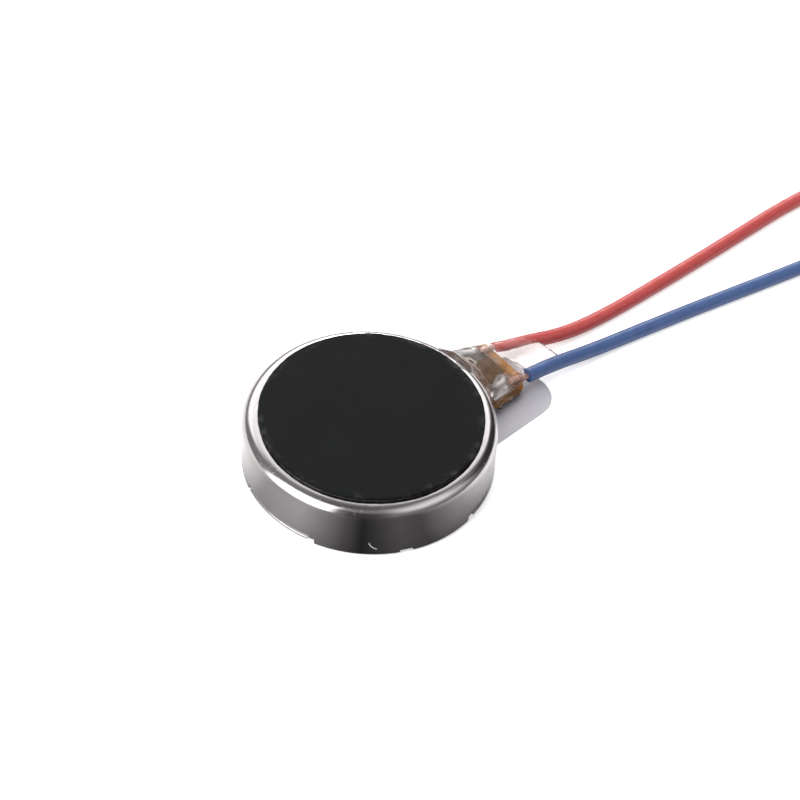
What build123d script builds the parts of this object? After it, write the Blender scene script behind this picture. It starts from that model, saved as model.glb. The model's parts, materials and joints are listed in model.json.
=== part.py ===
from build123d import *
import os
from math import cos, pi, radians, sin, tan

# A coin vibration motor, 10 mm across, with two thin leads.
#
# Millimetres. The origin is the middle of the underside, +Z is up and +X is the side
# that the leads leave from. A drawn steel can stands on a base plate that carries the
# shaft, a flat ring magnet and a flexible printed circuit with two spring brushes.
# The off-centre rotor hangs on a bush between two thrust washers and turns about Z.

os.makedirs("parts", exist_ok=True)

# ---------------------------------------------------------------- driving dimensions

can_radius = 5.0  # outside of the can
can_wall = 0.20  # sheet thickness
can_rim = 0.45  # outside rounding from the top to the side
pad_radius = 4.43  # the foam pad on top leaves a narrow steel ring bare
pad_middle = (0.05, 0.01)  # it is stuck on a little off centre

liner_thick = 0.05
tape_thick = 0.10
plate_thick = 0.20
film_thick = 0.04  # base film of the flex circuit
copper_thick = 0.02
cover_thick = 0.04  # cover film above the copper
can_top = 2.45  # height of the can's flat top
glue_film = 0.04  # adhesive film under the foam
foam_thick = 0.14

lead_radius = 0.30  # outside of the insulation
core_radius = 0.12  # the tinned strands, twisted
tip_length = 2.0  # stripped far end of each lead

shaft_radius = 0.30
run_gap = 0.02  # running clearance, on the radius and at each end of the bush

exit_half_width = 1.75  # half the width of the opening in the can's side
exit_height = 0.27  # top of that opening above the base plate's top
recess_half_angle = 22.0  # half of each cut-back in the can's lower edge, in degrees
recess_angles = (60, 180, 300)
notch_angles = (124, 244)

# Heights that follow from the stack
tape_z = liner_thick
plate_z = tape_z + tape_thick
can_z = plate_z - 0.05  # the can's lower edge stands a little below the plate
film_z = plate_z + plate_thick
copper_z = film_z + film_thick
copper_top = copper_z + copper_thick
flex_top = copper_top + cover_thick
ceiling_z = can_top - can_wall
inner_radius = can_radius - can_wall

# Routes of the leads, from the end of the insulation to the start of the bare tip
red_route = [
    (7.55, 0.55, 0.76),
    (8.95, 0.06, 0.72),
    (10.7, -0.48, 0.42),
    (12.9, -0.76, 0.30),
    (16.0, -0.95, 0.30),
    (20.0, -1.13, 0.30),
    (24.8, -1.26, 0.30),
    (28.7, -2.0, 0.30),
    (31.2, -4.7, 0.30),
    (31.9, -8.4, 0.30),
    (30.9, -12.0, 0.30),
    (28.6, -14.7, 0.30),
    (26.7, -15.87, 0.30),
]
blue_route = [
    (7.60, -1.36, 0.74),
    (8.95, -1.57, 0.70),
    (10.7, -1.84, 0.42),
    (12.9, -2.24, 0.30),
    (16.0, -2.92, 0.30),
    (19.8, -3.84, 0.30),
    (23.7, -4.75, 0.30),
    (26.6, -6.8, 0.30),
    (27.7, -10.0, 0.30),
    (26.7, -13.1, 0.30),
    (24.1, -15.1, 0.30),
    (20.8, -16.0, 0.30),
    (17.6, -16.1, 0.30),
    (15.78, -15.81, 0.30),
]


# ------------------------------------------------------------------- shared outlines


def ring_sector(inner, outer, half_angle, centre=0.0):
    """A flat piece of a ring, centred on the given angle in degrees."""
    with BuildSketch(mode=Mode.PRIVATE) as face:
        with BuildLine():
            far = CenterArc((0, 0), outer, centre - half_angle, 2 * half_angle)
            near = CenterArc((0, 0), inner, centre - half_angle, 2 * half_angle)
            Line(far @ 0, near @ 0)
            Line(far @ 1, near @ 1)
        make_face()
    return face.sketch


def corner_radii(points):
    """Each corner's arc is as large as its two runs allow."""
    ends = [Vector(*point) for point in points]
    runs = [after - before for before, after in zip(ends, ends[1:])]
    radii = []
    for before, after in zip(runs, runs[1:]):
        half_turn = radians(before.get_angle(after) / 2)
        radii.append(0.45 * min(before.length, after.length) / tan(half_turn))
    return radii


# -------------------------------------------------------------- tape and pull tab

liner_radius = 4.75
tab_reach = 8.35  # the pull tab's end, from the middle of the motor
tab_low_side = -2.80  # the tab stands to one side of the leads
tab_high_side = 0.45
tab_corner = 1.2

with BuildPart() as release_liner:
    with BuildSketch():
        tab_middle = (tab_low_side + tab_high_side) / 2
        with Locations((tab_reach / 2, tab_middle)):
            tab = Rectangle(tab_reach, tab_high_side - tab_low_side)
        fillet(tab.vertices().group_by(Axis.X)[-1], radius=tab_corner)
        Circle(liner_radius)
    extrude(amount=liner_thick)
release_liner.part.label = "release_liner"

tape_radius = 4.60

with BuildPart() as mounting_tape:
    with BuildSketch(Plane.XY.offset(tape_z)):
        Circle(tape_radius)
    extrude(amount=tape_thick)
mounting_tape.part.label = "mounting_tape"

# --------------------------------------------------------------------- base plate

plate_radius = inner_radius - 0.02  # drops into the can
ear_radius = 5.04  # thin ears stand out through the can's three recesses
ear_half_angle = recess_half_angle - 3
ear_thick = 0.08
hub_radius = 0.60  # drawn collar that holds the shaft
hub_top = 1.10
tongue_half_width = 1.45  # steel tongue under the flex circuit
tongue_reach = 7.10

with BuildPart() as base_plate:
    with BuildSketch(Plane.XY.offset(plate_z)):
        Circle(plate_radius)
        with Locations((tongue_reach / 2, 0)):
            tongue = Rectangle(tongue_reach, 2 * tongue_half_width)
        fillet(tongue.vertices().group_by(Axis.X)[-1], radius=0.4)
    extrude(amount=plate_thick)
    with BuildSketch(Plane.XY.offset(film_z)):
        for angle in recess_angles:
            add(ring_sector(plate_radius - 0.5, ear_radius, ear_half_angle, angle))
    extrude(amount=-ear_thick)
    with BuildSketch(Plane.XY.offset(plate_z)):
        Circle(hub_radius)
    extrude(amount=hub_top - plate_z)
    fillet(base_plate.edges().group_by(Axis.Z)[-1], radius=0.05)
    with BuildSketch(Plane.XY.offset(plate_z)):
        Circle(shaft_radius)
    extrude(amount=hub_top - plate_z, mode=Mode.SUBTRACT)
base_plate.part.label = "base_plate"

# ----------------------------------------------------------------------- steel can

notch_width = 0.52
notch_height = 0.12

with BuildPart() as case_can:
    with BuildSketch(Plane.XY.offset(can_z)):
        Circle(can_radius)
    extrude(amount=can_top - can_z)
    fillet(case_can.edges().group_by(Axis.Z)[-1], radius=can_rim)
    offset(amount=-can_wall, openings=case_can.faces().sort_by(Axis.Z)[0])
    # the lower edge is cut back over the ears of the base plate
    with BuildSketch(Plane.XY.offset(can_z)):
        for angle in recess_angles:
            add(ring_sector(4.0, 6.0, recess_half_angle, angle))
    extrude(amount=film_z - can_z, mode=Mode.SUBTRACT)
    # one shallow notch near the middle of each of the two closed lands
    with BuildSketch(Plane.XY.offset(can_z)):
        for angle in notch_angles:
            with Locations(Location((5 * cos(radians(angle)), 5 * sin(radians(angle))), angle)):
                Rectangle(1.0, notch_width)
    extrude(amount=notch_height, mode=Mode.SUBTRACT)
    # the way out for the flex circuit
    with BuildSketch(Plane.XY.offset(can_z)):
        with Locations((can_radius, 0)):
            Rectangle(1.2, 2 * exit_half_width)
    extrude(amount=film_z + exit_height - can_z, mode=Mode.SUBTRACT)
case_can.part.label = "case_can"

# ------------------------------------------------------------------------- top pad

with BuildPart() as pad_adhesive:
    with BuildSketch(Plane(origin=(*pad_middle, can_top))):
        Circle(pad_radius - 0.03)
    extrude(amount=glue_film)
pad_adhesive.part.label = "pad_adhesive"

with BuildPart() as top_pad:
    with BuildSketch(Plane(origin=(*pad_middle, can_top + glue_film))):
        Circle(pad_radius)
    extrude(amount=foam_thick)
    fillet(top_pad.edges().group_by(Axis.Z)[-1], radius=0.05)
top_pad.part.label = "top_pad"

# -------------------------------------------------------------------- flex circuit

flex_radius = 3.95
flex_hole = 0.70
flex_half_width = 1.65
flex_reach = 7.45
flex_corner = 0.60
nib_radius = 0.10  # stubs left where the circuit was broken out of its panel
nibs = ((5.75, -1.64), (6.35, -1.62), (6.85, -1.60))

solder_pad = (6.42, 0.83)  # middle of the red lead's pad; the blue one mirrors it
brush_pad = (1.02, 1.29)  # middle of the positive brush's pad
trace_width = 0.36

with BuildSketch() as flex_outline:
    Circle(flex_radius)
    with Locations((flex_reach / 2, 0)):
        neck = Rectangle(flex_reach, 2 * flex_half_width)
    fillet(neck.vertices().group_by(Axis.X)[-1], radius=flex_corner)
    with Locations(*nibs):
        Circle(nib_radius)
    Circle(flex_hole, mode=Mode.SUBTRACT)

with BuildPart() as flex_base_film:
    with BuildSketch(Plane.XY.offset(film_z)):
        add(flex_outline.sketch)
    extrude(amount=film_thick)
flex_base_film.part.label = "flex_base_film"

with BuildPart() as flex_trace_positive:
    with BuildSketch(Plane.XY.offset(copper_z)):
        with BuildLine():
            Polyline(solder_pad, (4.0, 0.83), (2.2, 1.29), brush_pad)
        trace(line_width=trace_width)
        with Locations(solder_pad):
            RectangleRounded(1.56, 0.80, 0.15)
        with Locations(brush_pad):
            Circle(0.34)
    extrude(amount=copper_thick)
flex_trace_positive.part.label = "flex_trace_positive"

with BuildPart() as flex_trace_negative:
    add(flex_trace_positive.part.mirror(Plane.XZ))
flex_trace_negative.part.label = "flex_trace_negative"

with BuildPart() as flex_cover_film:
    with BuildSketch(Plane.XY.offset(copper_z)):
        add(flex_outline.sketch)
        with Locations(solder_pad, (solder_pad[0], -solder_pad[1])):
            RectangleRounded(1.48, 0.72, 0.12, mode=Mode.SUBTRACT)
        with Locations(brush_pad, (brush_pad[0], -brush_pad[1])):
            Circle(0.32, mode=Mode.SUBTRACT)
    extrude(amount=copper_thick + cover_thick)
    add(flex_trace_positive.part, mode=Mode.SUBTRACT)
    add(flex_trace_negative.part, mode=Mode.SUBTRACT)
flex_cover_film.part.label = "flex_cover_film"

# --------------------------------------------------------- magnet, shaft, washers

magnet_outer = 3.80
magnet_inner = 2.10
bond_thick = 0.03
magnet_z = flex_top + bond_thick
magnet_top = 1.12

with BuildPart() as magnet_bond:
    with BuildSketch(Plane.XY.offset(flex_top)):
        Circle(magnet_outer - 0.1)
        Circle(magnet_inner + 0.1, mode=Mode.SUBTRACT)
    extrude(amount=bond_thick)
magnet_bond.part.label = "magnet_bond"

with BuildPart() as ring_magnet:
    with BuildSketch(Plane.XY.offset(magnet_z)):
        Circle(magnet_outer)
        Circle(magnet_inner, mode=Mode.SUBTRACT)
    extrude(amount=magnet_top - magnet_z)
    chamfer(ring_magnet.edges().filter_by(GeomType.CIRCLE), length=0.05)
ring_magnet.part.label = "ring_magnet"

with BuildPart() as shaft:
    with BuildSketch(Plane.XY.offset(plate_z)):
        Circle(shaft_radius)
    extrude(amount=ceiling_z - plate_z)
    chamfer(shaft.edges().group_by(Axis.Z)[-1], length=0.05)
shaft.part.label = "shaft"

washer_thick = 0.10
washer_radius = 0.62
washer_bore = shaft_radius + run_gap

with BuildPart() as lower_thrust_washer:
    with BuildSketch(Plane.XY.offset(hub_top)):
        Circle(washer_radius)
        Circle(washer_bore, mode=Mode.SUBTRACT)
    extrude(amount=washer_thick)
lower_thrust_washer.part.label = "lower_thrust_washer"

with BuildPart() as upper_thrust_washer:
    with BuildSketch(Plane.XY.offset(ceiling_z - washer_thick)):
        Circle(washer_radius)
        Circle(washer_bore, mode=Mode.SUBTRACT)
    extrude(amount=washer_thick)
upper_thrust_washer.part.label = "upper_thrust_washer"

# --------------------------------------------------------------------------- rotor

bush_radius = 0.75
bush_z = hub_top + washer_thick + run_gap
bush_top = ceiling_z - washer_thick - run_gap
board_z = 1.30
board_thick = 0.15
board_top = board_z + board_thick
segment_thick = 0.03
segment_inner = 0.95
segment_outer = 1.75
segment_count = 6
rotor_half_angle = 97.0  # the rotor is a fan, so its mass lies to one side
coil_angle = 62.0  # each coil's middle, either side of the weight
coil_height = 0.50
weight_top = 2.05
resin_top = 2.00

with BuildPart() as bearing_bush:
    with BuildSketch(Plane.XY.offset(bush_z)):
        Circle(bush_radius)
        Circle(shaft_radius + run_gap, mode=Mode.SUBTRACT)
    extrude(amount=bush_top - bush_z)
bearing_bush.part.label = "bearing_bush"

with BuildPart() as rotor_board:
    with BuildSketch(Plane.XY.offset(board_z)):
        Circle(1.95)
        add(ring_sector(bush_radius, 4.40, rotor_half_angle))
        Circle(bush_radius, mode=Mode.SUBTRACT)
    extrude(amount=board_thick)
rotor_board.part.label = "rotor_board"

with BuildPart() as commutator_segments:
    with BuildSketch(Plane.XY.offset(board_z - segment_thick)):
        for step in range(segment_count):
            add(ring_sector(segment_inner, segment_outer, 27, step * 60 + 30))
    extrude(amount=segment_thick)
commutator_segments.part.label = "commutator_segments"

with BuildPart() as coil_left:
    with BuildSketch(Plane.XY.offset(board_top)):
        add(ring_sector(1.35, 4.25, 28, coil_angle))
        fillet(vertices(), radius=0.28)
        offset(amount=-0.62, mode=Mode.SUBTRACT)
    extrude(amount=coil_height)
coil_left.part.label = "coil_left"

with BuildPart() as coil_right:
    add(coil_left.part.mirror(Plane.XZ))
coil_right.part.label = "coil_right"

with BuildPart() as counterweight:
    with BuildSketch(Plane.XY.offset(board_top)):
        add(ring_sector(2.10, 4.50, 27))
    extrude(amount=weight_top - board_top)
    chamfer(counterweight.edges().group_by(Axis.Z)[-1], length=0.05)
counterweight.part.label = "counterweight"

with BuildPart() as rotor_resin:
    with BuildSketch(Plane.XY.offset(board_top)):
        Circle(1.25)
        add(ring_sector(bush_radius, 4.35, rotor_half_angle - 1))
        Circle(bush_radius, mode=Mode.SUBTRACT)
    extrude(amount=resin_top - board_top)
    add(coil_left.part, mode=Mode.SUBTRACT)
    add(coil_right.part, mode=Mode.SUBTRACT)
    add(counterweight.part, mode=Mode.SUBTRACT)
rotor_resin.part.label = "rotor_resin"

with BuildPart() as coil_solder_joints:
    for angle in (125, 160, 200, 235):
        spot = Plane((1.6 * cos(radians(angle)), 1.6 * sin(radians(angle)), board_top))
        with BuildSketch(spot):
            Circle(0.19)
        extrude(amount=0.11)
    fillet(coil_solder_joints.edges().group_by(Axis.Z)[-1], radius=0.09)
coil_solder_joints.part.label = "coil_solder_joints"

# ------------------------------------------------------------------------- brushes

brush_foot = (1.25, 1.33)  # outer end of the foot, on the trace's round pad
brush_touch = (-0.95, 0.95)  # where the spring meets the commutator
brush_thick = 0.06
brush_width = 0.34
brush_contact_z = board_z - segment_thick - run_gap

brush_run = Vector(brush_touch[0] - brush_foot[0], brush_touch[1] - brush_foot[1], 0)
brush_plane = Plane(
    origin=(brush_foot[0], brush_foot[1], copper_top),
    x_dir=brush_run,
    z_dir=brush_run.cross(Vector(0, 0, 1)),
)
brush_rise = brush_contact_z - copper_top - brush_thick / 2

with BuildPart() as brush_positive:
    with BuildSketch(brush_plane):
        with BuildLine():
            FilletPolyline(
                (0, brush_thick / 2),
                (0.50, brush_thick / 2),
                (1.85, brush_rise - 0.10),
                (brush_run.length, brush_rise),
                (brush_run.length + 0.25, brush_rise - 0.12),
                radius=[0.30, 0.30, 0.12],
            )
        trace(line_width=brush_thick)
    extrude(amount=brush_width / 2, both=True)
brush_positive.part.label = "brush_positive"

with BuildPart() as brush_negative:
    add(brush_positive.part.mirror(Plane.XZ))
brush_negative.part.label = "brush_negative"

with BuildPart() as brush_solder_joints:
    for side in (1, -1):
        spot = brush_plane.from_local_coords((0.20, brush_thick, 0))
        with BuildSketch(Plane((spot.X, side * spot.Y, spot.Z))):
            Circle(0.14)
        extrude(amount=0.08)
    fillet(brush_solder_joints.edges().group_by(Axis.Z)[-1], radius=0.06)
brush_solder_joints.part.label = "brush_solder_joints"

# --------------------------------------------------------------------------- leads


def report_lead(name, line, tube):
    """How long a lead came out, and whether its solid is a true tube."""
    length = line.wire().length
    share = tube.volume / (pi * lead_radius**2 * length)
    print(name, "length", round(length, 2), "volume over section times length", round(share, 4))


def turned_back(points, distance):
    """A point ahead of a route's first point, in line with its first run."""
    start = Vector(*points[0])
    return start + (start - Vector(*points[1])).normalized() * distance


with BuildPart() as red_lead:
    with BuildLine() as red_line:
        FilletPolyline(*red_route, radius=corner_radii(red_route))
    with BuildSketch(Plane(red_line.line ^ 0)):
        Circle(lead_radius)
    sweep()
red_lead.part.label = "red_lead"

with BuildPart() as blue_lead:
    with BuildLine() as blue_line:
        FilletPolyline(*blue_route, radius=corner_radii(blue_route))
    with BuildSketch(Plane(blue_line.line ^ 0)):
        Circle(lead_radius)
    sweep()
blue_lead.part.label = "blue_lead"

report_lead("red lead", red_line, red_lead.part)
print("  corner radii", [round(radius, 1) for radius in corner_radii(red_route)])
report_lead("blue lead", blue_line, blue_lead.part)
print("  corner radii", [round(radius, 1) for radius in corner_radii(blue_route)])

# bare strands from the end of the insulation down to the solder pad
core_z = copper_top + core_radius + 0.02  # a film of solder stays under the strands
straight_out = 0.28  # strands run this far straight out of the insulation
strand_bend = 0.20

with BuildPart() as red_lead_core:
    with BuildLine() as red_strands:
        FilletPolyline(
            red_route[0],
            turned_back(red_route, straight_out),
            (6.95, 0.72, core_z),
            (6.05, 0.90, core_z),
            radius=strand_bend,
        )
    with BuildSketch(Plane(red_strands.line ^ 0)):
        Circle(core_radius)
    sweep()
red_lead_core.part.label = "red_lead_core"

with BuildPart() as blue_lead_core:
    with BuildLine() as blue_strands:
        FilletPolyline(
            blue_route[0],
            turned_back(blue_route, straight_out),
            (6.95, -1.02, core_z),
            (6.05, -0.84, core_z),
            radius=strand_bend,
        )
    with BuildSketch(Plane(blue_strands.line ^ 0)):
        Circle(core_radius)
    sweep()
blue_lead_core.part.label = "blue_lead_core"

# bare strands past the far end of the insulation, tinned to a rod
tip_rounding = 0.08

with BuildPart() as red_lead_tip:
    with BuildSketch(Plane(red_line.line ^ 1)):
        Circle(core_radius)
    extrude(amount=tip_length)
    far_end = red_lead_tip.edges().sort_by_distance(red_route[-1])[-1]
    fillet(far_end, radius=tip_rounding)
red_lead_tip.part.label = "red_lead_tip"

with BuildPart() as blue_lead_tip:
    with BuildSketch(Plane(blue_line.line ^ 1)):
        Circle(core_radius)
    extrude(amount=tip_length)
    far_end = blue_lead_tip.edges().sort_by_distance(blue_route[-1])[-1]
    fillet(far_end, radius=tip_rounding)
blue_lead_tip.part.label = "blue_lead_tip"

# ---------------------------------------------------------------- solder and glue

drop_length = 1.36
drop_width = 0.68
drop_height = 0.34
drop_slope = 22  # degrees that its sides lean in

with BuildPart() as solder_drop:
    with BuildSketch(Plane((solder_pad[0], solder_pad[1], copper_top))):
        SlotOverall(drop_length, drop_width)
    extrude(amount=drop_height, taper=drop_slope)
    fillet(solder_drop.edges().group_by(Axis.Z)[-1], radius=0.10)

with BuildPart() as red_lead_solder:
    add(solder_drop.part)
    add(red_lead_core.part, mode=Mode.SUBTRACT)
red_lead_solder.part.label = "red_lead_solder"

with BuildPart() as blue_lead_solder:
    add(solder_drop.part.mirror(Plane.XZ))
    add(blue_lead_core.part, mode=Mode.SUBTRACT)
blue_lead_solder.part.label = "blue_lead_solder"

glue_wall_top = 2.32  # how far the glue climbs the can
glue_under = 0.36  # underside of the glue past the end of the flex circuit

with BuildPart() as exit_glue:
    # side view: high against the can, low between the leads
    with BuildSketch(Plane.XZ):
        with BuildLine():
            Polyline(
                (4.40, flex_top),
                (flex_reach, flex_top),
                (flex_reach, glue_under),
                (9.30, glue_under),
                (9.72, 0.55),
                (9.30, 0.90),
                (8.40, 1.04),
                (7.50, 1.16),
                (6.60, 1.26),
                (5.90, 1.52),
                (5.40, 1.94),
                (5.02, 2.24),
                (4.40, glue_wall_top),
                close=True,
            )
        make_face()
    extrude(amount=3.0, both=True)
    # seen from above
    with BuildSketch():
        with BuildLine():
            FilletPolyline(
                (4.40, -1.58),
                (7.20, -1.58),
                (7.90, -1.45),
                (9.00, -1.48),
                (9.74, -1.30),
                (9.62, -0.62),
                (9.20, 0.10),
                (8.60, 0.42),
                (7.60, 0.96),
                (6.60, 1.52),
                (5.40, 1.80),
                (4.40, 1.80),
                close=True,
                radius=0.20,
            )
        make_face()
    extrude(amount=3.0, mode=Mode.INTERSECT)
    # it stops at the can, apart from the plug that fills the exit opening
    with BuildSketch():
        Circle(inner_radius)
    extrude(amount=3.0, mode=Mode.SUBTRACT)
    for neighbour in (
        case_can,
        red_lead,
        blue_lead,
        red_lead_core,
        blue_lead_core,
        red_lead_solder,
        blue_lead_solder,
    ):
        add(neighbour.part, mode=Mode.SUBTRACT)
exit_glue.part.label = "exit_glue"

# --------------------------------------------------------------------- write out

pieces = [
    release_liner,
    mounting_tape,
    base_plate,
    case_can,
    pad_adhesive,
    top_pad,
    flex_base_film,
    flex_trace_positive,
    flex_trace_negative,
    flex_cover_film,
    magnet_bond,
    ring_magnet,
    shaft,
    lower_thrust_washer,
    upper_thrust_washer,
    brush_positive,
    brush_negative,
    brush_solder_joints,
    red_lead_core,
    blue_lead_core,
    red_lead_solder,
    blue_lead_solder,
    exit_glue,
    red_lead,
    blue_lead,
    red_lead_tip,
    blue_lead_tip,
    bearing_bush,
    rotor_board,
    commutator_segments,
    coil_left,
    coil_right,
    counterweight,
    rotor_resin,
    coil_solder_joints,
]

for piece in pieces:
    export_step(piece.part, f"parts/{piece.part.label}.step")
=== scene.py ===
import bmesh
import bpy
import json
import math
from mathutils import Matrix, Vector


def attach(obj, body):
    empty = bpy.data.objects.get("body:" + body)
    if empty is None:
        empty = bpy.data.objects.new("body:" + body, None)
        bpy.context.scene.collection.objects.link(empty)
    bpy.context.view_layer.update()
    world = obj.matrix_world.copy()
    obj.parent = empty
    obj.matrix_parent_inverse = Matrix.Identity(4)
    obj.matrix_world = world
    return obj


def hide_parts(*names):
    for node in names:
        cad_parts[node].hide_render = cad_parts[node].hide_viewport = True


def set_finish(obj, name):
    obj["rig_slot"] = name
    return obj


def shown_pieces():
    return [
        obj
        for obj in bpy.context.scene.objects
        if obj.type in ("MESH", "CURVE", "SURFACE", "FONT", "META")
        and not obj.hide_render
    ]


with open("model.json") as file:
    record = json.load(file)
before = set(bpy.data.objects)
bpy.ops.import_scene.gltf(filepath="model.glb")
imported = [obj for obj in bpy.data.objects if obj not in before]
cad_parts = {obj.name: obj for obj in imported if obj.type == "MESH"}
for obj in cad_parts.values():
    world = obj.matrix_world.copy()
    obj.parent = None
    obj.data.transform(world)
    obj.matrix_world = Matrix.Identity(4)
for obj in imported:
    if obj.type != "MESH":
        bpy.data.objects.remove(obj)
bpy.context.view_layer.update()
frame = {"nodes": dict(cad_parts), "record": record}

mm = 0.001  # pieces are modelled in millimetres and brought to metres when they are settled
print("frame loaded:", len(frame["nodes"]), "nodes")


# ---- camera

cameraSettings = {
    "azimuth": -46.7,
    "elevation": 47.1,
    "distance": 100.0,
    "target": (0, 0, 1.3),
    "lens": 114.84,
    "roll": 4.4,
    "shift": (0.0383, 0.0465),
}


def makeCamera(settings):
    azimuth = math.radians(settings["azimuth"])
    elevation = math.radians(settings["elevation"])
    roll = math.radians(settings["roll"])
    flat = math.cos(elevation)
    back = Vector((math.sin(azimuth) * flat, -math.cos(azimuth) * flat, math.sin(elevation)))
    right = Vector((math.cos(azimuth), math.sin(azimuth), 0))
    up = back.cross(right)
    tiltedRight = right * math.cos(roll) + up * math.sin(roll)
    tiltedUp = up * math.cos(roll) - right * math.sin(roll)
    data = bpy.data.cameras.new("camera")
    data.lens = settings["lens"]
    data.shift_x, data.shift_y = settings["shift"]
    data.clip_start, data.clip_end = 0.005, 5
    camera = bpy.data.objects.new("camera", data)
    place = (Vector(settings["target"]) + back * settings["distance"]) * mm
    turn = Matrix((tiltedRight, tiltedUp, back)).transposed().to_4x4()
    camera.matrix_world = Matrix.Translation(place) @ turn
    bpy.context.scene.collection.objects.link(camera)
    bpy.context.scene.camera = camera


makeCamera(cameraSettings)
print("camera made")


# ---- the two leads

leads = {
    "diameter": 0.60,
    "length": 38.0,
    "bareDiameter": 0.24,
    "bareLength": 2.0,
    "red": [
        (7.55, 0.55, 0.76),
        (8.95, 0.06, 0.72),
        (10.7, -0.48, 0.42),
        (12.9, -0.76, 0.30),
        (16.0, -0.95, 0.30),
        (20.0, -1.13, 0.30),
        (24.8, -1.26, 0.30),
        (28.7, -2.0, 0.30),
        (31.2, -4.7, 0.30),
        (31.9, -8.4, 0.30),
        (30.9, -12.0, 0.30),
        (28.6, -14.7, 0.30),
        (26.7, -15.87, 0.30),
    ],
    "blue": [
        (7.60, -1.36, 0.74),
        (8.95, -1.57, 0.70),
        (10.7, -1.84, 0.42),
        (12.9, -2.24, 0.30),
        (16.0, -2.92, 0.30),
        (19.8, -3.84, 0.30),
        (23.7, -4.75, 0.30),
        (26.6, -6.8, 0.30),
        (27.7, -10.0, 0.30),
        (26.7, -13.1, 0.30),
        (24.1, -15.1, 0.30),
        (20.8, -16.0, 0.30),
        (17.6, -16.1, 0.30),
        (15.78, -15.81, 0.30),
    ],
}


def makeLead(name, route):
    curve = bpy.data.curves.new(name, "CURVE")
    curve.dimensions = "3D"
    curve.resolution_u = 24
    curve.bevel_depth = 1.0
    curve.bevel_resolution = 8
    curve.use_fill_caps = True
    spline = curve.splines.new("NURBS")
    spline.points.add(len(route) - 1)
    for point, place in zip(spline.points, route):
        point.co = (*(Vector(place) * mm), 1)
        # the thickness is on the points, so the curve's box stays tight
        point.radius = leads["diameter"] / 2 * mm
    spline.order_u = 3
    spline.use_endpoint_u = True
    lead = bpy.data.objects.new(name, curve)
    bpy.context.scene.collection.objects.link(lead)
    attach(lead, "stator")
    return lead


redLead = makeLead("redLead", leads["red"])
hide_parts("red_lead")
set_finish(redLead, "red_pvc")
blueLead = makeLead("blueLead", leads["blue"])
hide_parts("blue_lead")
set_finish(blueLead, "blue_pvc")
print("leads laid")


# ---- helpers for meshes


def newPiece(name, bm):
    mesh = bpy.data.meshes.new(name)
    bm.to_mesh(mesh)
    bm.free()
    piece = bpy.data.objects.new(name, mesh)
    bpy.context.scene.collection.objects.link(piece)
    return piece


def settle(piece, body, sharpAngle=40):
    # modifiers are applied in millimetres, then the mesh is brought to metres
    bpy.context.view_layer.update()
    shaped = piece.evaluated_get(bpy.context.evaluated_depsgraph_get())
    mesh = bpy.data.meshes.new_from_object(shaped)
    name = piece.name
    bpy.data.objects.remove(piece)
    settled = bpy.data.objects.new(name, mesh)
    bpy.context.scene.collection.objects.link(settled)
    mesh.transform(Matrix.Scale(mm, 4))
    mesh.polygons.foreach_set("use_smooth", [True] * len(mesh.polygons))
    mesh.set_sharp_from_angle(angle=math.radians(sharpAngle))
    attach(settled, body)
    return settled


def addModifier(piece, kind, **values):
    modifier = piece.modifiers.new(kind.lower(), kind)
    for name, value in values.items():
        setattr(modifier, name, value)
    return modifier


def onCircle(radius, degrees, height=0.0):
    angle = math.radians(degrees)
    return Vector((radius * math.cos(angle), radius * math.sin(angle), height))


def roundEdge(radius, top, edge, first, steps):
    # the rounded outer corner of a profile, from its side to its top
    points = []
    for step in range(first, steps + 1):
        turn = math.pi / 2 * step / steps
        points.append((radius - edge + edge * math.cos(turn), top - edge + edge * math.sin(turn)))
    return points


def spinProfile(bm, profile, steps):
    points = [bm.verts.new((radius, 0, height)) for radius, height in profile]
    edges = [bm.edges.new(pair) for pair in zip(points, points[1:])]
    bmesh.ops.spin(
        bm,
        geom=points + edges,
        cent=(0, 0, 0),
        axis=(0, 0, 1),
        angle=math.tau,
        steps=steps,
        use_merge=True,
    )
    bmesh.ops.remove_doubles(bm, verts=bm.verts, dist=0.0005)
    bmesh.ops.recalc_face_normals(bm, faces=bm.faces)


# ---- steel can

can = {
    "radius": 5.0,
    "bottom": 0.10,
    "top": 2.45,
    "wall": 0.20,
    "rim": 0.45,
    "rimSteps": 14,
    "steps": 360,
    # extra rings that keep the faces small
    "wallRings": (0.9, 1.45),
    "topRings": (4.40, 3.6, 2.4, 1.2, 0.0),
    "recessTop": 0.35,
    "recesses": ((38, 82), (158, 202), (278, 322)),
    "notchTop": 0.22,
    "notches": ((121, 127), (241, 247)),
    "exitTop": 0.62,
    "exit": (-20, 20),
    "edgeBreak": 0.025,
}


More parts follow.
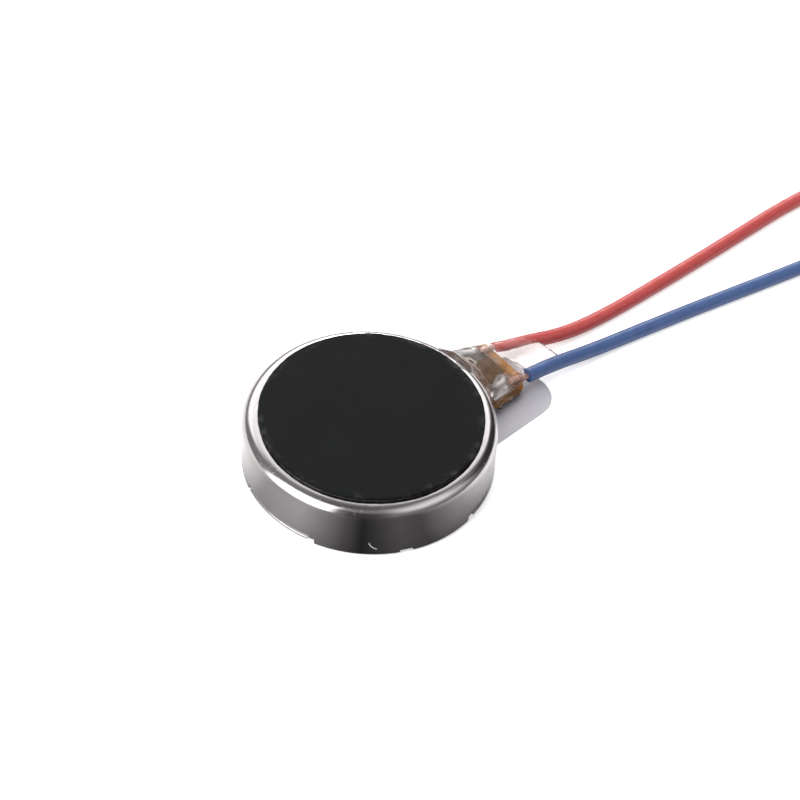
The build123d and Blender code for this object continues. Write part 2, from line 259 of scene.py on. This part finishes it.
def makeCan(values):
    bm = bmesh.new()
    profile = [(values["radius"], values[key]) for key in ("bottom", "notchTop", "recessTop", "exitTop")]
    profile += [(values["radius"], height) for height in values["wallRings"]]
    profile += roundEdge(values["radius"], values["top"], values["rim"], 0, values["rimSteps"])
    profile += [(ring, values["top"]) for ring in values["topRings"]]
    spinProfile(bm, profile, values["steps"])

    def cutAway(low, high, top):
        gone = []
        for face in bm.faces:
            middle = face.calc_center_median()
            angle = math.degrees(math.atan2(middle.y, middle.x)) % 360
            inside = (angle - low) % 360 < (high - low)
            if inside and middle.z < top and middle.xy.length > values["radius"] - 0.1:
                gone.append(face)
        bmesh.ops.delete(bm, geom=gone, context="FACES")

    for low, high in values["recesses"]:
        cutAway(low, high, values["recessTop"])
    for low, high in values["notches"]:
        cutAway(low, high, values["notchTop"])
    cutAway(*values["exit"], values["exitTop"])
    if sum(face.normal.z for face in bm.faces) < 0:
        bmesh.ops.reverse_faces(bm, faces=bm.faces)
    piece = newPiece("steelCan", bm)
    addModifier(piece, "SOLIDIFY", thickness=values["wall"], offset=-1, use_even_offset=True)
    addModifier(
        piece,
        "BEVEL",
        width=values["edgeBreak"],
        segments=2,
        limit_method="ANGLE",
        angle_limit=math.radians(50),
    )
    piece = settle(piece, "stator")
    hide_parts("case_can")
    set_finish(piece, "can_steel")


makeCan(can)
print("can drawn")


# ---- foam pad

pad = {
    "radius": 4.43,
    "middle": (0.05, 0.01, 0),
    "bottom": 2.49,
    "top": 2.63,
    "edge": 0.06,
    "edgeSteps": 4,
    "underEdge": 0.02,
    "underRing": 2.2,
    "topRings": (4.2, 3.3, 2.2, 1.1, 0.0),
    "steps": 240,
    "raggedness": 0.012,
}


def makePad(values):
    bm = bmesh.new()
    radius, bottom, top = values["radius"], values["bottom"], values["top"]
    profile = [(0.0, bottom), (values["underRing"], bottom), (radius - values["underEdge"], bottom)]
    profile += [(radius, bottom + values["underEdge"]), (radius, top - values["edge"])]
    profile += roundEdge(radius, top, values["edge"], 1, values["edgeSteps"])
    profile += [(ring, top) for ring in values["topRings"]]
    spinProfile(bm, profile, values["steps"])
    # the blade leaves the edge a little uneven
    for vert in bm.verts:
        reach = vert.co.xy.length
        if reach > radius - 0.1:
            angle = math.atan2(vert.co.y, vert.co.x)
            wave = math.sin(9 * angle) * 0.5 + math.sin(23 * angle + 1.3) * 0.3
            wave += math.sin(61 * angle + 0.4) * 0.35 + math.sin(97 * angle) * 0.25
            vert.co.xy *= 1 + values["raggedness"] * wave / reach
    bmesh.ops.translate(bm, vec=values["middle"], verts=bm.verts)
    piece = newPiece("foamPad", bm)
    piece = settle(piece, "stator", 60)
    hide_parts("top_pad")
    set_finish(piece, "black_foam")


makePad(pad)
print("pad cut")


# ---- clear glue over the joints

glue = {
    "bead": 0.07,
    "voxel": 0.045,
    "smoothing": 22,
    # the glue swells over the joints
    "swells": [
        ((6.30, 0.82, 0.88), 0.50),
        ((6.15, -0.78, 0.80), 0.48),
        ((5.50, 0.10, 1.42), 0.42),
        ((5.35, -1.05, 0.95), 0.42),
        ((7.05, -1.14, 0.62), 0.38),
    ],
    "hulls": {
        "rim": [
            (4.62, -13, 2.36),
            (4.60, -6, 2.40),
            (4.60, 6, 2.42),
            (4.62, 14, 2.38),
            (4.90, 20, 1.80),
            (4.90, 20, 0.60),
            (4.90, -17, 0.60),
            (4.90, -17, 1.60),
        ],
        "collar": [
            (5.02, -17, 0.50),
            (5.02, -17, 1.40),
            (5.04, -12, 2.02),
            (5.06, -4, 2.26),
            (5.06, 6, 2.28),
            (5.04, 13, 2.12),
            (5.02, 19, 1.40),
            (5.02, 20, 0.50),
        ],
        "shoulder": [
            (5.62, -1.44, 0.50),
            (5.60, -1.26, 1.05),
            (5.55, -0.50, 1.62),
            (5.50, 0.50, 1.74),
            (5.50, 1.25, 1.42),
            (5.50, 1.64, 0.50),
        ],
        "back": [
            (6.75, -1.44, 0.50),
            (6.75, -1.24, 0.80),
            (6.75, -0.40, 1.12),
            (6.75, 0.62, 1.20),
            (6.75, 1.12, 0.98),
            (6.75, 1.40, 0.50),
        ],
        "lip": [
            (7.55, -1.22, 0.42),
            (7.55, -1.20, 0.80),
            (7.55, -0.30, 0.98),
            (7.55, 0.58, 1.10),
            (7.55, 0.92, 0.80),
            (7.55, 0.86, 0.42),
        ],
        "web": [
            (8.70, -1.36, 0.46),
            (8.70, -1.30, 0.86),
            (8.70, -0.55, 0.82),
            (8.70, 0.15, 1.00),
            (8.70, 0.44, 0.72),
            (8.70, 0.20, 0.42),
        ],
        "front": [
            (9.35, -1.50, 0.50),
            (9.35, -1.42, 0.74),
            (9.30, -0.60, 0.66),
            (9.25, 0.05, 0.82),
            (9.20, 0.12, 0.55),
            (9.30, -0.60, 0.48),
        ],
    },
}


def addHull(bm, points, radius):
    hull = bmesh.new()
    for point in points:
        bmesh.ops.create_icosphere(hull, subdivisions=2, radius=radius, matrix=Matrix.Translation(point))
    found = bmesh.ops.convex_hull(hull, input=hull.verts)
    inside = found["geom_interior"] + found["geom_unused"]
    spare = {part for part in inside if isinstance(part, bmesh.types.BMVert)}
    bmesh.ops.delete(hull, geom=list(spare), context="VERTS")
    mesh = bpy.data.meshes.new("hull")
    hull.to_mesh(mesh)
    hull.free()
    bm.from_mesh(mesh)
    bpy.data.meshes.remove(mesh)


def makeGlue(values):
    bm = bmesh.new()
    rings = dict(values["hulls"])
    for ring in ("rim", "collar"):
        rings[ring] = [onCircle(radius, angle, height) for radius, angle, height in rings[ring]]
    order = ["rim", "collar", "shoulder", "back", "lip", "web", "front"]
    for near, far in zip(order, order[1:]):
        points = [Vector(point) for point in rings[near] + rings[far]]
        addHull(bm, points, values["bead"])
    for place, radius in values["swells"]:
        bmesh.ops.create_icosphere(bm, subdivisions=4, radius=radius, matrix=Matrix.Translation(place))
    piece = newPiece("exitGlue", bm)
    addModifier(piece, "REMESH", mode="VOXEL", voxel_size=values["voxel"])
    addModifier(piece, "SMOOTH", iterations=values["smoothing"], factor=0.5)
    piece = settle(piece, "stator", 180)
    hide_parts("exit_glue")
    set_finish(piece, "clear_glue")
    piece.visible_shadow = False  # light goes through it
    return piece


exitGlue = makeGlue(glue)
print("glue set:", len(exitGlue.data.polygons), "faces")


# ---- bare strands and solder

strands = {
    "count": 6,
    "steps": 40,
    "strandDiameter": 0.085,
    "overlap": 0.05,
    "straight": 0.28,
    "startTurns": 0.9,
    "tipTurns": 1.3,
    # where each lead's strands come down on their solder joint, and where they end
    "redLanding": ((6.95, 0.72, 0.55), (6.05, 0.90, 0.55)),
    "blueLanding": ((6.95, -1.02, 0.55), (6.05, -0.84, 0.55)),
}


def makeStrands(name, route, turns):
    bundle = bpy.data.curves.new(name, "CURVE")
    bundle.dimensions = "3D"
    bundle.bevel_depth = strands["strandDiameter"] / 2
    bundle.bevel_resolution = 3
    bundle.resolution_u = 2
    bundle.use_fill_caps = True
    spread = (leads["bareDiameter"] - strands["strandDiameter"]) / 2
    path = [Vector(point) for point in route]
    for strand in range(strands["count"] + 1):
        spline = bundle.splines.new("POLY")
        spline.points.add(strands["steps"] - 1)
        for index, point in enumerate(spline.points):
            share = index / (strands["steps"] - 1)
            centre, ahead = alongPath(path, share)
            side = ahead.cross(Vector((0, 0, 1))).normalized()
            top = side.cross(ahead)
            angle = math.tau * (strand / strands["count"] + turns * share)
            reach = 0 if strand == strands["count"] else spread
            place = centre + (side * math.cos(angle) + top * math.sin(angle)) * reach
            point.co = (*place, 1)
    piece = bpy.data.objects.new(name, bundle)
    bpy.context.scene.collection.objects.link(piece)
    return settle(piece, "stator", 50)


def alongPath(path, share):
    # a smooth walk along a few points, as a quadratic spline through their middles
    spans = len(path) - 2
    where = min(share * spans, spans - 1e-6)
    span = int(where)
    t = where - span
    before, corner, after = path[span : span + 3]
    start = before if span == 0 else (before + corner) / 2
    end = after if span == spans - 1 else (corner + after) / 2
    place = start * (1 - t) ** 2 + corner * 2 * t * (1 - t) + end * t**2
    ahead = ((corner - start) * (1 - t) + (end - corner) * t).normalized()
    return place, ahead


def bareStart(route, landing):
    start = Vector(route[0])
    back = (start - Vector(route[1])).normalized()
    inside, bend = start - back * strands["overlap"], start + back * strands["straight"]
    return [inside, bend, *landing]


def bareTip(route):
    end = Vector(route[-1])
    ahead = (end - Vector(route[-2])).normalized()
    reach = ahead * leads["bareLength"]
    return [end - ahead * strands["overlap"], end + reach / 2, end + reach]


def tinnedStrands(name, node, route, turns):
    piece = makeStrands(name, route, turns)
    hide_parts(node)
    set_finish(piece, "tinned_copper")
    return piece


redStart = bareStart(leads["red"], strands["redLanding"])
blueStart = bareStart(leads["blue"], strands["blueLanding"])
tinnedStrands("redStrands", "red_lead_core", redStart, strands["startTurns"])
tinnedStrands("blueStrands", "blue_lead_core", blueStart, strands["startTurns"])
redTip = tinnedStrands("redTip", "red_lead_tip", bareTip(leads["red"]), strands["tipTurns"])
blueTip = tinnedStrands("blueTip", "blue_lead_tip", bareTip(leads["blue"]), strands["tipTurns"])
print("strands twisted")

solder = {"length": 1.54, "width": 0.80, "height": 0.40, "middle": (6.42, 0.83, 0.41)}


def makeSolder(name, node, side):
    bm = bmesh.new()
    bmesh.ops.create_uvsphere(bm, u_segments=40, v_segments=24, radius=0.5)
    bmesh.ops.bisect_plane(
        bm,
        geom=bm.verts[:] + bm.edges[:] + bm.faces[:],
        plane_co=(0, 0, 0),
        plane_no=(0, 0, -1),
        clear_outer=True,
    )
    bmesh.ops.holes_fill(bm, edges=[edge for edge in bm.edges if edge.is_boundary], sides=0)
    bmesh.ops.scale(bm, vec=(solder["length"], solder["width"], solder["height"] * 2), verts=bm.verts)
    # the foot spreads where the solder wets the pad
    for vert in bm.verts:
        low = max(0.0, 1 - vert.co.z / solder["height"] * 2.5)
        vert.co.x *= 0.86 + 0.14 * low
        vert.co.y *= 0.80 + 0.20 * low
    x, y, z = solder["middle"]
    bmesh.ops.translate(bm, vec=(x, side * y, z), verts=bm.verts)
    bmesh.ops.recalc_face_normals(bm, faces=bm.faces)
    piece = newPiece(name, bm)
    piece = settle(piece, "stator", 60)
    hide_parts(node)
    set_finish(piece, "solder")


makeSolder("redSolder", "red_lead_solder", 1)
makeSolder("blueSolder", "blue_lead_solder", -1)
print("joints soldered")


# ---- materials


def addNode(tree, kind, values=None, **inputs):
    node = tree.nodes.new(kind)
    for name, value in (values or {}).items():
        setattr(node, name, value)
    for name, value in inputs.items():
        numbered = name[0] == "i" and name[1:].isdigit()
        socket = node.inputs[int(name[1:]) if numbered else name]
        if isinstance(value, bpy.types.NodeSocket):
            tree.links.new(value, socket)
        else:
            socket.default_value = value
    return node


def compute(tree, operation, *values):
    inputs = {f"i{index}": value for index, value in enumerate(values)}
    return addNode(tree, "ShaderNodeMath", {"operation": operation}, **inputs).outputs[0]


def computeVector(tree, operation, *values, output=0):
    inputs = {f"i{index}": value for index, value in enumerate(values)}
    return addNode(tree, "ShaderNodeVectorMath", {"operation": operation}, **inputs).outputs[output]


def axisDistance(tree, vector):
    flat = computeVector(tree, "MULTIPLY", vector, (1, 1, 0))
    return computeVector(tree, "LENGTH", flat, output="Value")


def startMaterial(name, color, roughness, metallic=0.0, **more):
    material = bpy.data.materials.new(name)
    material.use_nodes = True
    tree = material.node_tree
    shader = tree.nodes["Principled BSDF"]
    shader.inputs["Base Color"].default_value = (*color, 1)
    shader.inputs["Roughness"].default_value = roughness
    shader.inputs["Metallic"].default_value = metallic
    for socket, value in more.items():
        shader.inputs[socket.replace("_", " ")].default_value = value
    # one unit of the pattern is one millimetre
    place = addNode(tree, "ShaderNodeTexCoord").outputs["Object"]
    grid = addNode(tree, "ShaderNodeMapping", i0=place, Scale=(1000, 1000, 1000)).outputs[0]
    return material, tree, shader, grid


def noise(tree, vector, scale, detail=3.0, roughness=0.5):
    node = addNode(tree, "ShaderNodeTexNoise", Vector=vector, Scale=scale, Detail=detail, Roughness=roughness)
    return node.outputs[0]


def ramp(tree, value, low, high, start=0.0, end=1.0):
    node = addNode(tree, "ShaderNodeMapRange", {"clamp": True}, i0=value, i1=low, i2=high, i3=start, i4=end)
    return node.outputs[0]


def mixColor(tree, share, first, second):
    node = addNode(tree, "ShaderNodeMix", {"data_type": "RGBA"}, i0=share)
    for socket, value in ((node.inputs[6], first), (node.inputs[7], second)):
        if isinstance(value, bpy.types.NodeSocket):
            tree.links.new(value, socket)
        else:
            socket.default_value = (*value, 1)
    return node.outputs[2]


def addBump(tree, shader, height, strength, distance):
    node = addNode(tree, "ShaderNodeBump", Strength=strength, Distance=distance * mm, Height=height)
    tree.links.new(node.outputs[0], shader.inputs["Normal"])


def polar(tree, grid, alongScale, acrossScale):
    # unrolls the can: distance round it, height, and distance from the axis
    split = addNode(tree, "ShaderNodeSeparateXYZ", i0=grid)
    angle = compute(tree, "ARCTAN2", split.outputs[1], split.outputs[0])
    arc = compute(tree, "MULTIPLY", angle, can["radius"] * alongScale)
    out = compute(tree, "MULTIPLY", axisDistance(tree, grid), acrossScale)
    high = compute(tree, "MULTIPLY", split.outputs[2], acrossScale)
    joined = addNode(tree, "ShaderNodeCombineXYZ", i0=arc, i1=out, i2=high)
    return joined.outputs[0], split.outputs[2]


# one short curved scratch on the wall, a piece of a circle drawn on the unrolled side
scratch = {
    "azimuth": 226.5,
    "top": 0.80,
    "drop": 0.40,
    "across": 0.35,
    "bend": 0.5,
    "bendCentre": (0.49, 0.90, 0),
    "halfWidth": (0.012, 0.024),
    "fade": 0.02,
}


def addScratch(tree, grid, values):
    angle = math.radians(-values["azimuth"])
    turned = addNode(tree, "ShaderNodeVectorRotate", {"rotation_type": "Z_AXIS"}, Vector=grid, Angle=angle)
    out, along, high = addNode(tree, "ShaderNodeSeparateXYZ", i0=turned.outputs[0]).outputs
    where = addNode(tree, "ShaderNodeCombineXYZ", i0=along, i1=high).outputs[0]
    apart = computeVector(tree, "DISTANCE", where, values["bendCentre"], output="Value")
    off = compute(tree, "ABSOLUTE", compute(tree, "SUBTRACT", apart, values["bend"]))
    mark = ramp(tree, off, *values["halfWidth"], 1, 0)
    top, low, fade = values["top"], values["top"] - values["drop"], values["fade"]
    for value, none, full in (
        (along, 0.0, fade),
        (along, values["across"], values["across"] - fade),
        (high, top, top - fade),
        (high, low, low + fade),
        (out, 3.0, 3.1),
    ):
        mark = compute(tree, "MULTIPLY", mark, ramp(tree, value, none, full))
    return mark


def canSteel():
    material, tree, shader, grid = startMaterial("canSteel", (0.60, 0.575, 0.57), 0.24, 1.0)
    draw, height = polar(tree, grid, 9.0, 0.7)  # streaks up the wall from the drawing die
    turn, height = polar(tree, grid, 0.5, 14.0)  # fine rings round the rim
    streaks = noise(tree, draw, 1.0, 4, 0.6)
    rings = noise(tree, turn, 1.0, 3, 0.6)
    cloud = noise(tree, grid, 0.9, 4, 0.6)
    onRim = ramp(tree, height, 1.85, 2.1)
    detail = addNode(tree, "ShaderNodeMix", i0=onRim, i2=streaks, i3=rings).outputs[0]
    rough = compute(tree, "MULTIPLY", cloud, detail)
    tree.links.new(ramp(tree, rough, 0.10, 0.45, 0.10, 0.24), shader.inputs["Roughness"])
    base = mixColor(tree, cloud, (0.64, 0.61, 0.605), (0.52, 0.50, 0.50))
    mark = addScratch(tree, grid, scratch)
    tree.links.new(mixColor(tree, mark, base, (0.97, 0.97, 0.97)), shader.inputs["Base Color"])
    tree.links.new(ramp(tree, mark, 0, 1, 1, 0), shader.inputs["Metallic"])
    nicks = ramp(tree, noise(tree, grid, 9.0, 6, 0.8), 0.60, 0.66)
    surface = compute(tree, "MULTIPLY_ADD", nicks, 0.9, detail)
    addBump(tree, shader, surface, 0.16, 0.012)
    return material


def plainMetal(name, color, roughness, grain=6.0):
    material, tree, shader, grid = startMaterial(name, color, roughness, 1.0)
    cloud = noise(tree, grid, grain, 4, 0.6)
    darker = tuple(part * 0.78 for part in color)
    tree.links.new(mixColor(tree, ramp(tree, cloud, 0.35, 0.7), color, darker), shader.inputs["Base Color"])
    tree.links.new(ramp(tree, cloud, 0.3, 0.7, roughness * 0.8, roughness * 1.35), shader.inputs["Roughness"])
    addBump(tree, shader, cloud, 0.15, 0.01)
    return material


def plainPlastic(name, color, roughness, grain=8.0, **more):
    material, tree, shader, grid = startMaterial(name, color, roughness, 0.0, **more)
    cloud = noise(tree, grid, grain, 4, 0.6)
    darker = tuple(part * 0.85 for part in color)
    tree.links.new(mixColor(tree, ramp(tree, cloud, 0.3, 0.7), color, darker), shader.inputs["Base Color"])
    tree.links.new(ramp(tree, cloud, 0.3, 0.7, roughness * 0.85, roughness * 1.2), shader.inputs["Roughness"])
    addBump(tree, shader, cloud, 0.12, 0.01)
    return material


def blackFoam():
    material, tree, shader, grid = startMaterial("blackFoam", (0.010, 0.0115, 0.011), 0.55)
    shader.inputs["Specular IOR Level"].default_value = 0.05
    cells = noise(tree, grid, 16.0, 5, 0.7)
    cloud = noise(tree, grid, 0.45, 3, 0.5)
    specks = addNode(tree, "ShaderNodeTexVoronoi", Vector=grid, Scale=0.55, Randomness=1.0)
    dust = ramp(tree, specks.outputs["Distance"], 0.022, 0.036, 1.0, 0.0)
    chosen = ramp(tree, specks.outputs["Color"], 0.55, 0.6)
    dust = compute(tree, "MULTIPLY", dust, chosen)
    ground = mixColor(tree, cloud, (0.0065, 0.0075, 0.007), (0.009, 0.010, 0.0095))
    # lint along the cut edge, painted lighter there also as a painted sheen where the rounded edge catches
    # the light
    nearEdge = ramp(tree, axisDistance(tree, grid), 4.12, 4.34)
    tufts = ramp(tree, noise(tree, grid, 1.3, 5, 0.75), 0.50, 0.68)
    lintAndSheen = compute(tree, "MULTIPLY", nearEdge, tufts)
    ground = mixColor(tree, lintAndSheen, ground, (0.045, 0.043, 0.043))
    tree.links.new(mixColor(tree, dust, ground, (0.17, 0.17, 0.17)), shader.inputs["Base Color"])
    tree.links.new(ramp(tree, cells, 0.3, 0.7, 0.46, 0.62), shader.inputs["Roughness"])
    addBump(tree, shader, cells, 0.2, 0.01)
    return material


def amberFilm():
    material, tree, shader, grid = startMaterial("amberFilm", (0.45, 0.19, 0.02), 0.16, 0.0, IOR=1.5)
    shader.inputs["Transmission Weight"].default_value = 0.35
    cloud = noise(tree, grid, 2.2, 4, 0.6)
    # darker brown over the steel tongue, partly as painted shade, and bright amber at its cut ends as a
    # painted glow of the lit edge
    split = addNode(tree, "ShaderNodeSeparateXYZ", i0=grid)
    paintedGlowAtEnd = ramp(tree, split.outputs[0], 6.95, 7.3)
    patches = ramp(tree, cloud, 0.3, 0.7)
    brown = mixColor(tree, patches, (0.17, 0.072, 0.012), (0.08, 0.036, 0.010))
    amber = mixColor(tree, patches, (0.68, 0.29, 0.012), (0.36, 0.135, 0.010))
    # painted glow: the cut end is coloured bright amber as if lit
    tree.links.new(mixColor(tree, paintedGlowAtEnd, brown, amber), shader.inputs["Base Color"])
    tree.links.new(ramp(tree, cloud, 0.3, 0.7, 0.12, 0.26), shader.inputs["Roughness"])
    addBump(tree, shader, noise(tree, grid, 5.0, 3), 0.2, 0.02)
    return material


def clearGlue():
    material, tree, shader, grid = startMaterial("clearGlue", (0.84, 0.80, 0.785), 0.04, 0.0, IOR=1.50)
    shader.inputs["Transmission Weight"].default_value = 0.985
    cloud = noise(tree, grid, 1.1, 3, 0.5)
    tree.links.new(ramp(tree, cloud, 0.3, 0.7, 0.02, 0.10), shader.inputs["Roughness"])
    addBump(tree, shader, cloud, 0.4, 0.2)
    return material


def linerFilm():
    material, tree, shader, grid = startMaterial("linerFilm", (0.45, 0.44, 0.48), 0.34, 0.0, IOR=1.45)
    cloud = noise(tree, grid, 0.7, 4, 0.6)
    # painted shade: the film is painted a little darker beside the flex circuit, where the flex, glue and
    # leads shade it, than toward the side of the tab
    split = addNode(tree, "ShaderNodeSeparateXYZ", i0=grid)
    # painted shade grows toward the flex circuit
    side = ramp(tree, split.outputs[1], -2.9, -1.3)
    mottleAndPaintedShade = compute(tree, "ADD", side, ramp(tree, cloud, 0.2, 0.8, -0.15, 0.15))
    tintWithPaintedShade = mixColor(tree, mottleAndPaintedShade, (0.47, 0.462, 0.495), (0.40, 0.393, 0.425))
    tree.links.new(tintWithPaintedShade, shader.inputs["Base Color"])
    tree.links.new(ramp(tree, cloud, 0.3, 0.7, 0.26, 0.42), shader.inputs["Roughness"])
    addBump(tree, shader, cloud, 0.2, 0.03)
    return material


def pvc(name, color, shade):
    material, tree, shader, grid = startMaterial(name, color, 0.36)
    shader.inputs["Subsurface Weight"].default_value = 0.12
    shader.inputs["Subsurface Radius"].default_value = (0.0003, 0.0001, 0.0001)
    skin = noise(tree, grid, 3.0, 4, 0.6)
    fine = noise(tree, grid, 22.0, 2, 0.5)
    tree.links.new(mixColor(tree, ramp(tree, skin, 0.3, 0.72), color, shade), shader.inputs["Base Color"])
    tree.links.new(ramp(tree, skin, 0.3, 0.7, 0.30, 0.44), shader.inputs["Roughness"])
    addBump(tree, shader, fine, 0.15, 0.01)
    return material


materials = {
    "can_steel": canSteel(),
    "plate_steel": plainMetal("plateSteel", (0.80, 0.79, 0.79), 0.35),
    "shaft_steel": plainMetal("shaftSteel", (0.72, 0.72, 0.74), 0.12),
    "nickel_plate": plainMetal("nickelPlate", (0.70, 0.68, 0.63), 0.22),
    "bond_resin": plainPlastic("bondResin", (0.20, 0.15, 0.08), 0.4),
    "polyimide": amberFilm(),
    "copper": plainMetal("copperFoil", (0.46, 0.25, 0.13), 0.3),
    "brush_alloy": plainMetal("brushAlloy", (0.80, 0.72, 0.50), 0.25),
    "solder": plainMetal("solder", (0.70, 0.69, 0.68), 0.38, 3.0),
    "washer_film": plainPlastic("washerFilm", (0.80, 0.80, 0.76), 0.45),
    "tinned_copper": plainMetal("tinnedCopper", (0.70, 0.47, 0.40), 0.34, 9.0),
    "clear_glue": clearGlue(),
    "black_foam": blackFoam(),
    "adhesive_film": plainPlastic("adhesiveFilm", (0.05, 0.05, 0.05), 0.5),
    "liner_film": linerFilm(),
    "red_pvc": pvc("redPvc", (0.47, 0.070, 0.064), (0.40, 0.055, 0.051)),
    "blue_pvc": pvc("bluePvc", (0.052, 0.098, 0.245), (0.040, 0.078, 0.195)),
    "sintered_bronze": plainMetal("sinteredBronze", (0.56, 0.42, 0.24), 0.5, 20.0),
    "board_green": plainPlastic("boardGreen", (0.03, 0.17, 0.07), 0.35),
    "segment_gold": plainMetal("segmentGold", (0.86, 0.66, 0.28), 0.2),
    "enamelled_copper": plainMetal("enamelledCopper", (0.62, 0.24, 0.10), 0.3, 14.0),
    "tungsten_grey": plainMetal("tungstenGrey", (0.40, 0.39, 0.38), 0.42, 18.0),
    "black_resin": plainPlastic("blackResin", (0.02, 0.02, 0.02), 0.45),
}


def dress(piece, slotName):
    piece.data.materials.clear()
    piece.data.materials.append(materials[slotName])


for entry in frame["record"]["subparts"]:
    dress(frame["nodes"][entry["node"]], entry["material_slot"])
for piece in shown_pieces():
    if "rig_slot" in piece:
        dress(piece, piece["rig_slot"])
print("materials given")


# ---- floor, world and lights

studio = {
    "floorSize": 1.6,
    "floorWhite": 0.92,
    "floorLift": 0.45,
    # painted shade on the paper, seen only in the metal and in bounced light: how bright the paper is, by
    # angle round the can from the camera's side
    "floorInMetal": [
        (-90, 0.80),
        (-60, 0.30),
        (-35, 0.38),
        (-10, 0.09),
        (0, 0.02),
        (20, 0.09),
        (33, 0.075),
        (47, 0.20),
        (60, 0.35),
        (90, 0.95),
    ],
    "background": 1.0,
}


def makeFloor():
    bm = bmesh.new()
    bmesh.ops.create_grid(bm, x_segments=1, y_segments=1, size=studio["floorSize"] / 2)
    mesh = bpy.data.meshes.new("floor")
    bm.to_mesh(mesh)
    bm.free()
    floor = bpy.data.objects.new("floor", mesh)
    bpy.context.scene.collection.objects.link(floor)
    material = bpy.data.materials.new("floorPaper")
    material.use_nodes = True
    tree = material.node_tree
    shader = tree.nodes["Principled BSDF"]
    shader.inputs["Roughness"].default_value = 1.0
    shader.inputs["Specular IOR Level"].default_value = 0.0
    path = addNode(tree, "ShaderNodeLightPath")
    seen = compute(tree, "MAXIMUM", path.outputs["Is Camera Ray"], path.outputs["Is Transmission Ray"])
    white = (studio["floorWhite"],) * 3
    place = addNode(tree, "ShaderNodeTexCoord").outputs["Object"]
    front = math.radians(90 - cameraSettings["azimuth"])
    turned = addNode(tree, "ShaderNodeVectorRotate", {"rotation_type": "Z_AXIS"}, Vector=place, Angle=front)
    split = addNode(tree, "ShaderNodeSeparateXYZ", i0=turned.outputs[0])
    around = compute(tree, "ARCTAN2", split.outputs[1], split.outputs[0])
    share = ramp(tree, around, -math.pi, math.pi)
    shades = addNode(tree, "ShaderNodeValToRGB", i0=share)
    stops = shades.color_ramp.elements
    for stop, (angle, shade) in zip(stops, (studio["floorInMetal"][0], studio["floorInMetal"][-1])):
        stop.position = angle / 360 + 0.5
        stop.color = (shade, shade, shade, 1)
    for angle, shade in studio["floorInMetal"][1:-1]:
        stops.new(angle / 360 + 0.5).color = (shade, shade * 0.985, shade, 1)
    # rays other than camera and transmission rays see the painted shade ramp, while the camera sees even
    # white
    tree.links.new(mixColor(tree, seen, shades.outputs[0], white), shader.inputs["Base Color"])
    shader.inputs["Emission Color"].default_value = (1, 1, 1, 1)
    lift = ramp(tree, seen, 0, 1, 0, studio["floorLift"])  # keeps the shadows faint
    tree.links.new(lift, shader.inputs["Emission Strength"])
    floor.data.materials.append(material)


def direction(azimuth, elevation):
    a, e = math.radians(azimuth), math.radians(elevation)
    return Vector((math.cos(a) * math.cos(e), math.sin(a) * math.cos(e), math.sin(e)))


world = {
    "ambient": (0.27, 0.262, 0.268),
    # each patch: azimuth, half width, elevation, half height, softness in degrees, strength
    "flags": [
        (222, 17, 0, 42, 9, 0.78),
        (352, 26, 0, 48, 10, 0.85),
        (0, 180, 88, 14, 8, 0.55),
    ],
    "panels": [
        (169, 27, 18, 42, 6, 3.5),
        (287, 30, 50, 18, 13, 0.95),
        (54, 36, 36, 14, 6, 1.7),
        (332, 14, 66, 9, 7, 0.6),
        (48, 9, 27, 5, 4, 10.0),
        (166, 8, 34, 8, 4, 9.0),
    ],
}


def makeWorld():
    surround = bpy.data.worlds.new("studio")
    bpy.context.scene.world = surround
    surround.use_nodes = True
    tree = surround.node_tree
    background = tree.nodes["Background"]
    look = addNode(tree, "ShaderNodeTexCoord").outputs["Generated"]
    split = addNode(tree, "ShaderNodeSeparateXYZ", i0=look)
    height = compute(tree, "ARCSINE", split.outputs[2])
    level = computeVector(tree, "NORMALIZE", computeVector(tree, "MULTIPLY", look, (1, 1, 0)))

    def patch(azimuth, width, elevation, tall, soft):
        low, high = math.radians(elevation - tall), math.radians(elevation + tall)
        edge = math.radians(soft)
        over = ramp(tree, height, low - edge, low + edge)
        under = ramp(tree, height, high - edge, high + edge, 1, 0)
        share = compute(tree, "MULTIPLY", over, under)
        if width >= 180:
            return share
        facing = computeVector(tree, "DOT_PRODUCT", level, direction(azimuth, 0), output="Value")
        outer, inner = math.radians(width + soft), math.radians(width - soft)
        return compute(tree, "MULTIPLY", share, ramp(tree, facing, math.cos(outer), math.cos(inner)))

    total = addNode(tree, "ShaderNodeRGB")
    total.outputs[0].default_value = (*world["ambient"], 1)
    light = total.outputs[0]
    for *place, share in world["flags"]:
        kept = ramp(tree, patch(*place), 0, 1, 1, 1 - share)
        light = addNode(tree, "ShaderNodeVectorMath", {"operation": "SCALE"}, i0=light, Scale=kept).outputs[0]
    for *place, strength in world["panels"]:
        glow = ramp(tree, patch(*place), 0, 1, 0, strength)
        light = computeVector(tree, "ADD", light, glow)
    path = addNode(tree, "ShaderNodeLightPath")
    final = mixColor(tree, path.outputs["Is Camera Ray"], light, (studio["background"],) * 3)
    tree.links.new(final, background.inputs["Color"])


softboxes = [
    # name, azimuth, elevation, distance, width, height, radiance
    ("overhead", 60, 80, 160, 150, 150, 1.9),
    ("frontLeft", 176, 50, 150, 60, 60, 1.6),
]


def makeLights():
    for name, azimuth, elevation, distance, width, height, radiance in softboxes:
        data = bpy.data.lights.new(name, "AREA")
        data.shape = "RECTANGLE"
        data.size, data.size_y = width * mm, height * mm
        data.energy = radiance * math.pi * data.size * data.size_y
        lamp = bpy.data.objects.new(name, data)
        lamp.location = direction(azimuth, elevation) * distance * mm
        lamp.rotation_mode = "QUATERNION"
        lamp.rotation_quaternion = direction(azimuth, elevation).to_track_quat("Z", "Y")
        lamp.visible_glossy = False  # the metal reflects the panels of the world only
        bpy.context.scene.collection.objects.link(lamp)


makeFloor()
makeWorld()
makeLights()
bpy.context.scene.view_settings.view_transform = "Standard"
print("studio lit")

bpy.context.view_layer.update()
